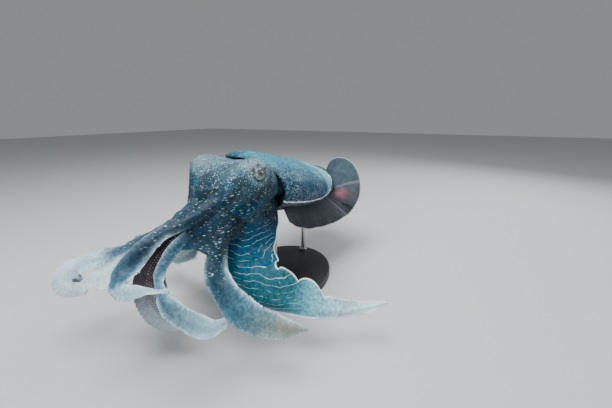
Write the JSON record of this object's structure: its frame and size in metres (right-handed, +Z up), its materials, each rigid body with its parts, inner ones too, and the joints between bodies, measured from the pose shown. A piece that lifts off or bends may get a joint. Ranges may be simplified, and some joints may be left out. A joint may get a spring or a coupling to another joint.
{
  "type": "giant australian cuttlefish display model",
  "caption": "Life-size still model of a displaying giant Australian cuttlefish, arms spread forward and down, held by short rods on a flat oval base.",
  "frame": {"origin": "middle of the stand base's underside, at floor level", "axes": "+Z up, the head looks towards -Y, the animal's left side is +X"},
  "size_m": [0.5372, 0.6574, 0.2989],
  "materials": {
    "skin": "moist, softly glossy skin, dark blue-grey with pale spots, teal on the broad arm webs and whitish at the arm tips",
    "fin": "thin pinkish-grey skin, softly glossy, with a fine white edge",
    "eye": "wet, tan eyeball with a dark W-shaped pupil",
    "lips": "moist, wrinkled pale lips round a dark beak tip",
    "stand_base": "satin black powder coat",
    "stand_rod": "brushed stainless steel rod"
  },
  "bodies": {
    "root": {"arm_left_1_root": "skin", "arm_left_1_middle": "skin", "arm_left_1_tip": "skin", "arm_left_2_root": "skin", "arm_left_2_middle": "skin", "arm_left_2_tip": "skin", "arm_left_3_root": "skin", "arm_left_3_middle": "skin", "arm_left_3_tip": "skin", "arm_left_4_root": "skin", "arm_left_4_middle": "skin", "arm_left_4_tip": "skin", "arm_right_1_root": "skin", "arm_right_1_middle": "skin", "arm_right_1_tip": "skin", "arm_right_2_root": "skin", "arm_right_2_middle": "skin", "arm_right_2_tip": "skin", "arm_right_3_root": "skin", "arm_right_3_middle": "skin", "arm_right_3_tip": "skin", "arm_right_4_root": "skin", "arm_right_4_middle": "skin", "arm_right_4_tip": "skin", "mantle": "skin", "neck": "skin", "head": "skin", "funnel": "skin", "fin_left_front": "fin", "fin_left_middle": "fin", "fin_left_rear": "fin", "fin_right_front": "fin", "fin_right_middle": "fin", "fin_right_rear": "fin", "eye_left": "eye", "eye_right": "eye", "mouth": "lips", "stand_base": "stand_base", "stand_rod_front": "stand_rod", "stand_rod_rear": "stand_rod"}
  },
  "joints": []
}
